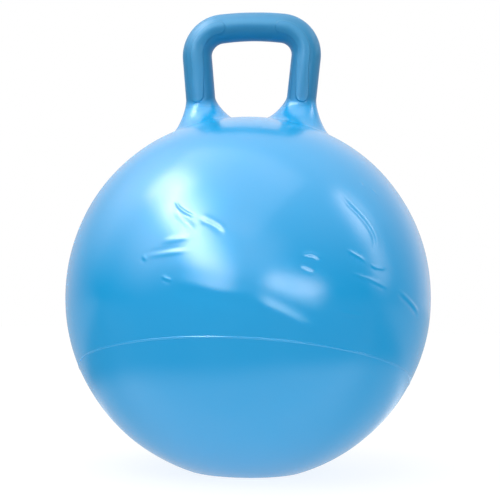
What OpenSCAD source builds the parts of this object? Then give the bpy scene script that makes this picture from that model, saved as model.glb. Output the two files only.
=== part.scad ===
// Hopper ball: an inflated ball of soft vinyl with a hollow loop handle on top.
// The ball stands on the plane z = 0 with its axis on Z. The handle spans X, and -Y is its front.
// The handle opens into the ball, so both hold the same air. The filling valve sits at the
// middle of the crown, between the two legs of the handle, and its stopper pulls straight up.

/* [Ball] */
// Diameter of the inflated ball
ball_d = 450; // [350:5:650]
// Wall of the inflated skin
skin_wall = 1.2; // [0.8:0.1:3]
// Diameter of the flat that the ball rests on
ground_flat_d = 140; // [60:1:180]
// Diameter of the flatter crown that the handle holds in
crown_d = 230; // [190:1:280]
// Drop of the middle of the crown below a true ball
crown_drop = 2.4; // [2:0.1:10]

/* [Mould seam] */
// Distance of the seam's plane below the middle of the ball
seam_drop = 101.2; // [20:0.1:140]
// Lean of the seam's plane, raised at the front, in degrees
seam_lean = 16; // [0:0.1:25]
// Width of the seam's bead where it leaves the skin
seam_w = 2; // [1:0.1:4]
// Height of the seam's bead above the skin
seam_h = 0.5; // [0.2:0.1:0.9]

/* [Handle] */
// Width over both legs at the widest point
handle_w = 173; // [155:0.5:200]
// Height of the handle's top above the middle of the crown
handle_h = 132; // [110:0.5:170]
// Diameter of the legs
leg_d = 36.5; // [28:0.5:40]
// Thickness of the bar in the middle of the handle
bar_d = 35; // [26:0.1:40]
// Wall of the handle
handle_wall = 2.4; // [1.5:0.1:4]
// Radius of the upper corners, to the middle of the tube
corner_r = 33.5; // [26:0.5:40]
// Radius of the bar's slight arch, to the middle of the tube
arch_r = 330; // [200:10:900]
// Lean of each leg, closing towards the ball, in degrees
leg_lean = 5.5; // [0:0.1:9]

/* [Handle feet] */
// Height above the crown at which a leg starts to widen
flare_h = 27; // [20:1:34]
// How far down from there the tube runs on at the leg's inner and outer sides
flare_side_drop = 1; // [0:0.5:6]
// How far down it runs on at the leg's front and back
flare_front_drop = 10; // [1:0.5:12]
// Diameter of the widened foot on the crown
flare_d = 88; // [70:1:90]
// Thickness of the foot's thin outer edge
flare_edge = 0.5; // [0.3:0.1:2]
// Diameter of the foot's inside where it meets the crown
flare_bore_d = 62; // [48:1:64]

/* [Grip pads] */
// Width of the raised grip pads on the front and the back of each leg
pad_w = 16; // [8:0.5:20]
// Height of the pads above the tube
pad_h = 0.8; // [0.4:0.1:2]
// Start of the pads, measured up the leg from where it starts to widen
pad_start = -8.5; // [-9:0.5:20]
// Plain length in the middle of the bar, between the pads
bar_plain_w = 63; // [30:1:80]

/* [Valve insert] */
// Diameter of the bore that the stopper closes
valve_bore_d = 9; // [7:0.1:11]
// Diameter of the insert's body in the crown
valve_body_d = 26; // [25:0.5:28]
// Height of the insert's rim above the middle of the crown
valve_rim_h = 0.3; // [0.2:0.1:2]
// Diameter of the thick disc of skin round the insert
valve_boss_d = 44; // [40:1:50]
// Thickness of that disc
valve_boss_t = 3; // [2:0.1:5]
// Diameter of the insert's flange under the disc
valve_flange_d = 38; // [32:0.5:40]
// Thickness of the flange
valve_flange_t = 2; // [1:0.1:3]
// Outer diameter of the sleeve inside the ball
valve_sleeve_d = 15; // [13:0.5:18]
// Length of the sleeve below the flange
valve_sleeve_h = 12; // [8:0.5:20]

/* [Valve plug] */
// Diameter of the stopper's head
plug_head_d = 20; // [16:0.5:21]
// Thickness of the head
plug_head_t = 2.4; // [1.5:0.1:3]
// Height of the low dome on the head
plug_dome_h = 0.6; // [0.2:0.1:1]
// Length of the shank below the head
plug_shank_l = 18; // [16:0.5:20]
// Length of the tapered tip, part of the shank
plug_tip_l = 4; // [2:0.5:6]
// Diameter at the end of the tip
plug_tip_d = 5.5; // [4:0.5:6]
// Depth of the grooves between the shank's sealing rings
plug_groove = 0.5; // [0.2:0.1:1]
// Number of sealing rings
plug_rings = 4; // [2:1:6]
// Radial clearance of the rings in the bore
plug_fit = 0.03; // [0.01:0.01:0.1]
// Radial gap round the head in its seat
plug_head_gap = 0.4; // [0.2:0.1:1]

/* [Hidden] */
ball_blue = [0.32, 0.70, 0.92];
handle_blue = [0.24, 0.58, 0.80];
insert_blue = [0.42, 0.74, 0.93];
plug_white = [0.94, 0.94, 0.92];
curve_fn = 180;
small_fn = 96;

// Gap between the foot's flat facets and the round crown that they are welded to
seat_gap = 0.1;
// Gap of the insert's body in the hole that it is welded into
weld_gap = 0.05;
// Step from the inside of a foot in to the edge of the crown's hole under it
foot_hole_step = 1;
// Overrun of a cut past the face that it leaves
overrun = 1;
// Smallest share of the pad's half width that its rounded ends close to
pad_end_share = 0.35;
// Slope of the pad's long edges, along the tube's surface
pad_slope = 0.8;
// Share of the way to the foot's edge over which a flare keeps its direction at each end
flare_pull_share = 0.22;
// Facets round the tube: plain side, pad, and steps along it outside and inside
side_steps = 4;
pad_steps = 4;
path_steps = 40;
inner_path_steps = 20;
drop_steps = 4;
flare_steps = 9;
inner_flare_steps = 5;

// Ball and crown
ball_r = ball_d / 2;
ball_z = sqrt(pow(ball_r, 2) - pow(ground_flat_d / 2, 2));
pole_z = ball_z + ball_r - crown_drop;
crown_edge_z = ball_z + sqrt(pow(ball_r, 2) - pow(crown_d / 2, 2));
crown_sag = pole_z - crown_edge_z;
crown_r = (pow(crown_d / 2, 2) + pow(crown_sag, 2)) / (2 * crown_sag);
crown_z = pole_z - crown_r;
cut_span = ball_d + 2 * crown_d;

// The bead is a round cord sunk into the skin: its radius and sink follow its width and height
seam_cord_r = (pow(seam_w / 2, 2) + pow(seam_h, 2)) / (2 * seam_h);
seam_sink = seam_cord_r - seam_h;
seam_ring_r = sqrt(pow(ball_r - seam_sink, 2) - pow(seam_drop, 2));

// Middle line of the handle's right half: arch, corner, leg, all tangent, in the XZ plane
leg_r = leg_d / 2;
bar_r = bar_d / 2;
arch_c = [0, 0, pole_z + handle_h - bar_r - arch_r];
corner_x = handle_w / 2 - leg_r - corner_r;
corner_c = [corner_x, 0, arch_c[2] + sqrt(pow(arch_r - corner_r, 2) - pow(corner_x, 2))];
corner_start = asin(corner_x / (arch_r - corner_r));
corner_end = 90 + leg_lean;
leg_top = corner_c + corner_r * outward(corner_end);
leg_down = downward(corner_end);
flare_start = leg_top + leg_down * (leg_top[2] - pole_z - flare_h) / -leg_down[2];
leg_l = norm(leg_top - flare_start);
corner_l = corner_r * arc_share(corner_end - corner_start);
half_l = leg_l + corner_l + arch_r * arc_share(corner_start);

// The foot is centred where the leg's middle line meets the crown
crown_c = [0, 0, crown_z];
leg_to_crown = (leg_top - crown_c) * leg_down;
foot_reach = -leg_to_crown - sqrt(pow(leg_to_crown, 2) - pow(norm(leg_top - crown_c), 2) + pow(crown_r, 2));
foot_c = leg_top + leg_down * foot_reach;
foot_angle = atan2(foot_c[0], foot_c[2] - crown_z);
foot_hole_r = flare_bore_d / 2 - foot_hole_step;

// Levels of the valve, from the middle of the crown
valve_top_z = pole_z + valve_rim_h;
valve_seat_z = valve_top_z - plug_head_t;
valve_boss_z = pole_z - valve_boss_t;
valve_flange_z = valve_boss_z - valve_flange_t;
valve_end_z = valve_flange_z - valve_sleeve_h;
valve_seat_d = plug_head_d + 2 * plug_head_gap;
valve_chamfer = valve_rim_h / 2;
plug_shank_d = valve_bore_d - 2 * plug_fit;
plug_ring_pitch = (plug_shank_l - plug_tip_l) / plug_rings;

// Share of a circle's radius that an angle in degrees covers along its arc
function arc_share(angle) = angle * PI / 180;

// Direction away from the loop's middle, and direction down the tube, at an angle from straight up
function outward(angle) = [sin(angle), 0, cos(angle)];
function downward(angle) = [cos(angle), 0, -sin(angle)];

function bezier(p0, p1, p2, p3, t) =
    pow(1 - t, 3) * p0 + 3 * pow(1 - t, 2) * t * p1 + 3 * (1 - t) * pow(t, 2) * p2 + pow(t, 3) * p3;

function reversed(list) = [for (i = [len(list) - 1:-1:0]) list[i]];
function mirror_ring(ring) = [for (p = ring) [-p[0], p[1], p[2]]];
function mirror_rings(rings) = [for (ring = rings) mirror_ring(ring)];

// Angle of the tube's outward side at a distance up the middle line from the flare's start
function path_angle(s) =
    s <= leg_l ? corner_end
    : s <= leg_l + corner_l ? corner_end - (s - leg_l) / corner_r * 180 / PI
    : (half_l - s) / arch_r * 180 / PI;

function path_point(s) =
    s <= leg_l ? flare_start - leg_down * s
    : s <= leg_l + corner_l ? corner_c + corner_r * outward(path_angle(s))
    : arch_c + arch_r * outward(path_angle(s));

// The tube thins evenly from the top of the leg to the middle of the bar
function tube_r(s) = leg_r + (bar_r - leg_r) * max(0, s - leg_l) / (half_l - leg_l);

// Distance inside the nearer end of the pad, negative where the tube is plain
function pad_depth(s) = min(s - pad_start, half_l - bar_plain_w / 2 - s);

function pad_half_w(s) =
    let (d = pad_depth(s), half = pad_w / 2)
    d >= half || d < 0 ? half : max(pad_end_share * half, sqrt(pow(half, 2) - pow(half - d, 2)));

// Angles of the facets round one tube, counted from the outward side, with the pads' edges among them
function ring_angles(pad_angle, slope_angle) =
    let (plain = 90 - pad_angle - slope_angle,
        half = concat([for (i = [0:side_steps]) i * plain / side_steps],
            [for (i = [0:pad_steps]) 90 - pad_angle + i * 2 * pad_angle / pad_steps],
            [for (i = [0:side_steps - 1]) 180 - plain + i * plain / side_steps]))
    concat(half, [for (a = half) a + 180]);

function on_pad(k) =
    let (i = k % (2 * side_steps + pad_steps + 2))
    i > side_steps && i <= side_steps + pad_steps + 1;

// Angles of the ring at a distance up the middle line, where the pads lie
function tube_angles(s) =
    ring_angles(asin(pad_half_w(s) / tube_r(s)), asin(pad_slope / tube_r(s)));

// A point on the tube, raised on the pads where the tube has them
function tube_point(s, angle, inset, raised) =
    let (r = tube_r(s) - inset + (raised && inset == 0 && pad_depth(s) >= 0 ? pad_h : 0))
    path_point(s) + r * (cos(angle) * outward(path_angle(s)) + [0, sin(angle), 0]);

function tube_ring(s, inset) =
    let (angles = tube_angles(s))
    [for (k = [0:len(angles) - 1]) tube_point(s, angles[k], inset, on_pad(k))];

// A ring of the tube below the height where it starts to widen: share 1 is the ring that the foot
// widens from, lower at the front and the back than at the sides
function leg_ring(share, inset) =
    let (angles = tube_angles(-share * flare_front_drop))
    [for (k = [0:len(angles) - 1])
        let (drop = flare_side_drop + (flare_front_drop - flare_side_drop) * pow(sin(angles[k]), 2))
        tube_point(-share * drop, angles[k], inset, on_pad(k))];

// A point on a sphere about the crown's centre, at a distance off the foot's axis
function crown_point(angle, off, sphere_r) =
    let (tilt = asin(off / sphere_r))
    crown_c + sphere_r * (cos(tilt) * outward(foot_angle)
        + sin(tilt) * (cos(angle) * downward(foot_angle) + [0, sin(angle), 0]));

// The direction along that sphere towards the foot's axis
function crown_inward(angle, off, sphere_r) =
    let (tilt = asin(off / sphere_r))
    sin(tilt) * outward(foot_angle)
        - cos(tilt) * (cos(angle) * downward(foot_angle) + [0, sin(angle), 0]);

foot_angles = ring_angles(asin(pad_w / 2 / leg_r), asin(pad_slope / leg_r));

function crown_ring(off, sphere_r) = [for (a = foot_angles) crown_point(a, off, sphere_r)];

// One ring of the widening foot: share 0 is the leg's last ring, share 1 lies on the crown
function flare_ring(share, inset, off, sphere_r) =
    let (start_ring = leg_ring(1, inset), foot_ring = crown_ring(off, sphere_r))
    [for (k = [0:len(foot_angles) - 1])
        let (pull = flare_pull_share * norm(foot_ring[k] - start_ring[k]))
        bezier(start_ring[k], start_ring[k] + pull * leg_down,
            foot_ring[k] + pull * crown_inward(foot_angles[k], off, sphere_r), foot_ring[k], share)];

// Rings of the right half, from the foot's edge up to the middle of the bar, which is left out
function half_rings(inset, off, sphere_r, flares, steps) = concat(
    [for (i = [flares:-1:1]) flare_ring(i / flares, inset, off, sphere_r)],
    [for (i = [drop_steps:-1:1]) leg_ring(i / drop_steps, inset)],
    [for (i = [0:steps - 1]) tube_ring(i * half_l / steps, inset)]);

// Skin of the whole tube: outside from foot to foot, under the left foot, inside and back
module handle_form() {
    foot_mid = (flare_d + flare_bore_d) / 4;
    outer = half_rings(0, flare_d / 2, crown_r + flare_edge, flare_steps, path_steps);
    inner = half_rings(handle_wall, flare_bore_d / 2, crown_r + seat_gap, inner_flare_steps,
        inner_path_steps);
    base = [crown_ring(flare_d / 2, crown_r + seat_gap), crown_ring(foot_mid, crown_r + seat_gap)];
    rings = concat(outer, [tube_ring(half_l, 0)], reversed(mirror_rings(outer)),
        mirror_rings(base), mirror_rings(inner), [tube_ring(half_l, handle_wall)],
        reversed(inner), reversed(base));
    count = len(rings);
    sides = len(foot_angles);
    points = [for (ring = rings) each ring];
    faces = [for (i = [0:count - 1], j = [0:sides - 1])
        let (a = i * sides + j, b = i * sides + (j + 1) % sides,
            c = (i + 1) % count * sides + (j + 1) % sides, d = (i + 1) % count * sides + j)
        each [[a, b, c], [a, c, d]]];
    polyhedron(points, faces);
}

// Outer form of the ball, or the form a wall's thickness inside it
module ball_form(inset) {
    intersection() {
        translate([0, 0, ball_z])
            sphere(r = ball_r - inset, $fn = curve_fn);
        translate([0, 0, crown_z])
            sphere(r = crown_r - inset, $fn = curve_fn);
        translate([-cut_span / 2, -cut_span / 2, inset])
            cube([cut_span, cut_span, cut_span]);
    }
}

module seam_bead() {
    translate([0, 0, ball_z])
        rotate([-seam_lean, 0, 0])
            translate([0, 0, -seam_drop])
                rotate_extrude($fn = curve_fn)
                    translate([seam_ring_r, 0])
                        circle(r = seam_cord_r, $fn = small_fn);
}

// Hole in the crown under one foot, where the handle's air meets the ball's
module foot_hole() {
    translate([0, 0, crown_z])
        rotate([0, foot_angle, 0])
            translate([0, 0, crown_r - foot_hole_r])
                cylinder(r = foot_hole_r, h = 2 * foot_hole_r, $fn = curve_fn);
}

module ball_skin() {
    color(ball_blue)
        difference() {
            union() {
                ball_form(0);
                seam_bead();
            }
            difference() {
                ball_form(skin_wall);
                translate([0, 0, valve_boss_z])
                    cylinder(d = valve_boss_d, h = valve_boss_t + overrun, $fn = curve_fn);
            }
            foot_hole();
            mirror([1, 0, 0])
                foot_hole();
            translate([0, 0, valve_boss_z - overrun])
                cylinder(d = valve_body_d + 2 * weld_gap, h = valve_boss_t + 2 * overrun, $fn = curve_fn);
        }
}

module handle() {
    color(handle_blue)
        handle_form();
}

module valve_insert() {
    color(insert_blue)
        difference() {
            union() {
                translate([0, 0, valve_flange_z])
                    cylinder(d = valve_flange_d, h = valve_flange_t, $fn = small_fn);
                translate([0, 0, valve_flange_z])
                    cylinder(d = valve_body_d, h = valve_top_z - valve_chamfer - valve_flange_z, $fn = small_fn);
                translate([0, 0, valve_top_z - valve_chamfer])
                    cylinder(d1 = valve_body_d, d2 = valve_body_d - 2 * valve_chamfer, h = valve_chamfer,
                        $fn = small_fn);
                translate([0, 0, valve_end_z])
                    cylinder(d = valve_sleeve_d, h = valve_sleeve_h + valve_flange_t, $fn = small_fn);
            }
            translate([0, 0, valve_end_z - overrun])
                cylinder(d = valve_bore_d, h = valve_seat_z - valve_end_z + 2 * overrun, $fn = small_fn);
            translate([0, 0, valve_seat_z])
                cylinder(d = valve_seat_d, h = plug_head_t + overrun, $fn = small_fn);
        }
}

module plug_head() {
    dome_r = (pow(plug_head_d / 2, 2) + pow(plug_dome_h, 2)) / (2 * plug_dome_h);
    intersection() {
        cylinder(d = plug_head_d, h = plug_head_t + plug_dome_h, $fn = small_fn);
        translate([0, 0, plug_head_t + plug_dome_h - dome_r])
            sphere(r = dome_r, $fn = curve_fn);
    }
}

module plug_shank() {
    translate([0, 0, plug_tip_l - plug_shank_l])
        cylinder(d = plug_shank_d - 2 * plug_groove, h = plug_shank_l - plug_tip_l, $fn = small_fn);
    for (i = [0:plug_rings - 1])
        translate([0, 0, -(i + 1) * plug_ring_pitch])
            cylinder(d = plug_shank_d, h = plug_ring_pitch / 2, $fn = small_fn);
    translate([0, 0, -plug_shank_l])
        cylinder(d1 = plug_tip_d, d2 = plug_shank_d, h = plug_tip_l, $fn = small_fn);
}

module valve_plug() {
    color(plug_white)
        translate([0, 0, valve_seat_z])
            union() {
                plug_head();
                plug_shank();
            }
}

ball_skin();
handle();
valve_insert();
valve_plug();
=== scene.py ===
"""Hopper ball: a blown moulding of glossy blue vinyl, a ball with a loop handle, and its valve.

Sizes are in metres and angles that are fields in degrees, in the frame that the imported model
gives: the ball stands on z = 0 with its axis on Z, the handle spans X and -Y is the front. The
whole moulding's skin follows one form, MouldingForm, so the ball and the handle meet without a
step where the moulding is parted.
"""

import logging
import math
from dataclasses import dataclass, field, replace
from enum import Enum

import bmesh
import bpy
import numpy as np
from mathutils import Matrix, Quaternion, Vector


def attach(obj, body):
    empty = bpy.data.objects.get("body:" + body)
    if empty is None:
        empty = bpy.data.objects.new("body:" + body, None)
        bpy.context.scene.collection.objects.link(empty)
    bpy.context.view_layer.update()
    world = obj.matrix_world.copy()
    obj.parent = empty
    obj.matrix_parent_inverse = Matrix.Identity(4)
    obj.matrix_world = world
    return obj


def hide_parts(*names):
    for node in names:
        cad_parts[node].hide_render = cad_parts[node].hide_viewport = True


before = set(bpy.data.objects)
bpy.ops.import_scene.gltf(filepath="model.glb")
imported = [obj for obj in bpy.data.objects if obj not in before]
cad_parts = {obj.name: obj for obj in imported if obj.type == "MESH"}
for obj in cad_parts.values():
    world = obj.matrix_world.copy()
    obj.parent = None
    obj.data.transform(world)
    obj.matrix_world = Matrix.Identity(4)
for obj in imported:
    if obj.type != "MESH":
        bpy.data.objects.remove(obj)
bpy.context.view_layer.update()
MM = 0.001
MERGE = 1e-7
LOG = logging.getLogger("hopper_ball")

Array = np.ndarray
BMesh = bmesh.types.BMesh
Mesh = bpy.types.Mesh
Piece = bpy.types.Object
Socket = bpy.types.NodeSocket
Tree = bpy.types.NodeTree
Triple = tuple[float, float, float]
Colour = Triple
Pair = tuple[float, float]
Limits = tuple[float, float, float, float]
Inputs = dict[str | int, object]


class Wall(Enum):
    """Side of the moulding's wall that a face belongs to."""

    OUTSIDE = 1
    INSIDE = 0


class Change(Enum):
    """How a value goes from one level to another."""

    EVEN = "LINEAR"
    SOFT = "SMOOTHSTEP"


class Ray(Enum):
    """Kind of ray that a shader can treat in its own way."""

    CAMERA = "Is Camera Ray"
    GLOSSY = "Is Glossy Ray"


def unit(vectors: Array) -> Array:
    """Vectors, along the last axis, at length one."""
    return vectors / np.linalg.norm(vectors, axis=-1, keepdims=True)


def smooth_step(value: Array) -> Array:
    """An even rise from 0 to 1, flat at both ends."""
    share = np.clip(value, 0.0, 1.0)
    return share * share * (3.0 - 2.0 * share)


def smooth_min(first: Array, second: Array, blend: float) -> Array:
    """The lesser of two values, rounded off where they differ by less than the blend."""
    share = np.clip(0.5 + 0.5 * (second - first) / blend, 0.0, 1.0)
    return second * (1.0 - share) + first * share - blend * share * (1.0 - share)


def on_ball(around: float, up: float) -> Array:
    """Direction from the ball's middle, in degrees round from the front and up from the level."""
    a, e = math.radians(around), math.radians(up)
    return np.array([math.sin(a) * math.cos(e), -math.cos(a) * math.cos(e), math.sin(e)])


def rounded_path(points: Array, steps: int) -> Array:
    """A smooth curve through a few points.

    Args:
        points: The points, one to a row.
        steps: Steps from each point to the next.

    Returns:
        The curve's points, the ends included.
    """
    padded = np.vstack([2 * points[0] - points[1], points, 2 * points[-1] - points[-2]])
    curve = []
    for i in range(1, len(padded) - 2):
        before, start, end, after = padded[i - 1:i + 3]
        for t in np.arange(steps) / steps:
            curve.append(0.5 * (2 * start + (end - before) * t
                                + (2 * before - 5 * start + 4 * end - after) * t ** 2
                                + (3 * start - before - 3 * end + after) * t ** 3))
    return np.array(curve + [points[-1]])


@dataclass(frozen=True)
class Crease:
    """A fold line in the soft skin: a ridge with a trough beside it.

    The route is a few points in degrees round and up the ball. The trough lies on the right of
    the route, seen from outside, and a negative height swaps ridge and trough.
    """

    route: tuple[Pair, ...]
    height: float
    width: float
    trough_share: float
    taper_share: float
    trough_off: float = 1.7
    reach_widths: float = 4.5
    fine_steps: int = 8
    coarse_steps: int = 4
    least_depth: float = 0.1
    same_side: float = 0.5

    def points(self) -> Array:
        """Directions of the route's points from the ball's middle."""
        return np.array([on_ball(*point) for point in self.route])

    def frame(self) -> tuple[Array, Array, Array]:
        """Finds the crease's own directions.

        Returns:
            Its middle direction, and those to the right and up from there.
        """
        middle = unit(self.points().mean(axis=0))
        right = unit(np.cross(middle, [0.0, 0.0, -1.0]))
        return middle, right, np.cross(middle, right)

    def flatten(self, directions: Array, radius: float) -> Array:
        """Spreads directions on a sheet that touches the ball at the crease's middle.

        Args:
            directions: From the ball's middle, one to a row.
            radius: Radius of the ball.

        Returns:
            The place of each direction, to the right and up from the crease's middle.
        """
        middle, right, above = self.frame()
        depth = np.maximum(directions @ middle, self.least_depth)
        sheet = np.stack([directions @ right, directions @ above], axis=-1)
        return sheet / depth[:, None] * radius

    def line(self, radius: float, steps: int) -> Array:
        """The route as a smooth curve on that sheet."""
        return rounded_path(self.flatten(self.points(), radius), steps)

    @staticmethod
    def follow(places: Array, curve: Array) -> tuple[Array, Array]:
        """Measures places against the crease's line.

        Args:
            places: Places on the sheet, one to a row.
            curve: The points of the line on it.

        Returns:
            The distance of each place from the line, negative to its right, and the share of the
            line's length at which it is nearest.
        """
        lengths = np.linalg.norm(np.diff(curve, axis=0), axis=1)
        starts = np.concatenate([[0.0], np.cumsum(lengths)])
        nearest = np.full(len(places), np.inf)
        side = np.zeros(len(places))
        along = np.zeros(len(places))
        for i, length in enumerate(lengths):
            step = (curve[i + 1] - curve[i]) / length
            offset = places - curve[i]
            share = np.clip(offset @ step / length, 0.0, 1.0)
            away = np.linalg.norm(offset - share[:, None] * step * length, axis=1)
            turned = step[0] * offset[:, 1] - step[1] * offset[:, 0]
            closer = away < nearest
            nearest = np.where(closer, away, nearest)
            side = np.where(closer, np.where(turned > 0, 1.0, -1.0), side)
            along = np.where(closer, (starts[i] + share * length) / starts[-1], along)
        return nearest * side, along

    def relief(self, directions: Array, radius: float) -> Array:
        """Height that the crease adds to the skin.

        Args:
            directions: From the ball's middle, one to a row.
            radius: Radius of the ball.

        Returns:
            The height along each direction.
        """
        curve = self.line(radius, self.fine_steps)
        spans = np.ptp(curve, axis=0)
        reach = self.reach_widths * self.width + spans.max() / 2 + spans.min() / 2
        near = np.flatnonzero(directions @ self.frame()[0] > math.cos(reach / radius))
        off, along = self.follow(self.flatten(directions[near], radius), curve)
        off = off / self.width
        ridge = np.exp(-off ** 2) - self.trough_share * np.exp(-(off + self.trough_off) ** 2)
        start, end = (smooth_step(share / self.taper_share) for share in (along, 1.0 - along))
        raised = np.zeros(len(directions))
        raised[near] = self.height * ridge * (start * end)
        return raised

    def nearness(self, directions: Array, radius: float) -> Array:
        """Finds how near the crease's line the skin is.

        Args:
            directions: From the ball's middle, one to a row.
            radius: Radius of the ball.

        Returns:
            The distance of each direction from the line, over the crease's width.
        """
        places = self.flatten(directions, radius)
        away = np.full(len(directions), np.inf)
        for point in self.line(radius, self.coarse_steps):
            away = np.minimum(away, np.linalg.norm(places - point, axis=1))
        away[directions @ self.frame()[0] < self.same_side] = np.inf
        return away / self.width


def front_creases() -> tuple[Crease, ...]:
    """The fold lines on the front of the ball, as the photographed ball has them.

    Returns:
        The creases. Each row below has a height and a width in millimetres, the shares of the
        trough and the taper, and the route.
    """
    rows = (
        (-0.45, 1.8, 0.3, 0.3, (-17.4, 28.3), (-15.1, 25.7), (-12.2, 23.9), (-8.6, 22.5)),
        (0.35, 4.0, 0.2, 0.3, (-8.3, 17.7), (-10.4, 19.8), (-13.4, 22.2), (-17.1, 25.4)),
        (0.45, 3.2, 0.9, 0.3, (-8.4, 22.9), (-5.2, 22.2), (-1.8, 20.5), (1.3, 18.0)),
        (0.5, 3.4, 0.2, 0.35, (-20.1, 14.9), (-15.7, 15.7), (-11.5, 16.3), (-7.9, 16.6)),
        (0.4, 2.8, 0.7, 0.35, (-9.0, 12.9), (-14.3, 12.2), (-19.0, 11.6), (-24.2, 10.9)),
        (0.45, 2.4, 0.3, 0.5, (-24.7, 11.8), (-22.6, 9.5)),
        (0.4, 1.9, 0.5, 0.4, (-17.8, 5.9), (-16.4, 5.1), (-14.0, 4.3)),
        (0.25, 6.5, 0.4, 0.25, (-15.5, 4.8), (-7.5, 3.3), (-0.9, 1.9), (5.9, 1.0), (10.7, 0.3)),
        (0.45, 7.0, 0.4, 0.3, (28.0, -10.2), (20.4, -6.5), (14.2, -3.6), (6.4, -0.1)),
        (0.6, 2.5, 0.2, 0.35, (21.6, 12.1), (24.9, 12.2), (28.1, 10.6)),
        (0.38, 2.3, 0.2, 0.35, (21.2, 9.4), (23.4, 8.6), (25.8, 7.8)),
        (-0.5, 3.2, 0.25, 0.3,
         (45.0, 12.3), (46.8, 16.7), (46.2, 20.0), (43.8, 23.8), (40.7, 27.2), (37.4, 32.0)),
        (0.45, 1.7, 0.2, 0.35, (35.4, 13.9), (39.0, 12.3), (42.7, 10.5)),
        (0.45, 1.7, 0.2, 0.35, (43.4, 9.9), (46.4, 8.9), (50.6, 8.7)),
        (0.45, 1.8, 0.2, 0.3, (36.1, 7.5), (40.5, 6.2), (44.1, 5.4), (50.9, 3.0)),
        (0.8, 2.6, 0.8, 0.3, (54.6, 3.1), (60.4, 0.3), (63.7, -1.4), (68.6, -4.1)),
        (0.2, 2.4, 0.4, 0.4, (30.6, -3.0), (38.4, -4.3), (44.2, -4.6)),
        (0.4, 2.0, 0.2, 0.5, (50.2, 36.5), (51.7, 34.5)),
        (0.4, 2.0, 0.2, 0.5, (55.1, 34.4), (56.5, 32.0)),
    )
    return tuple(Crease(tuple(route), height * MM, width * MM, trough, taper)
                 for height, width, trough, taper, *route in rows)


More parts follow.
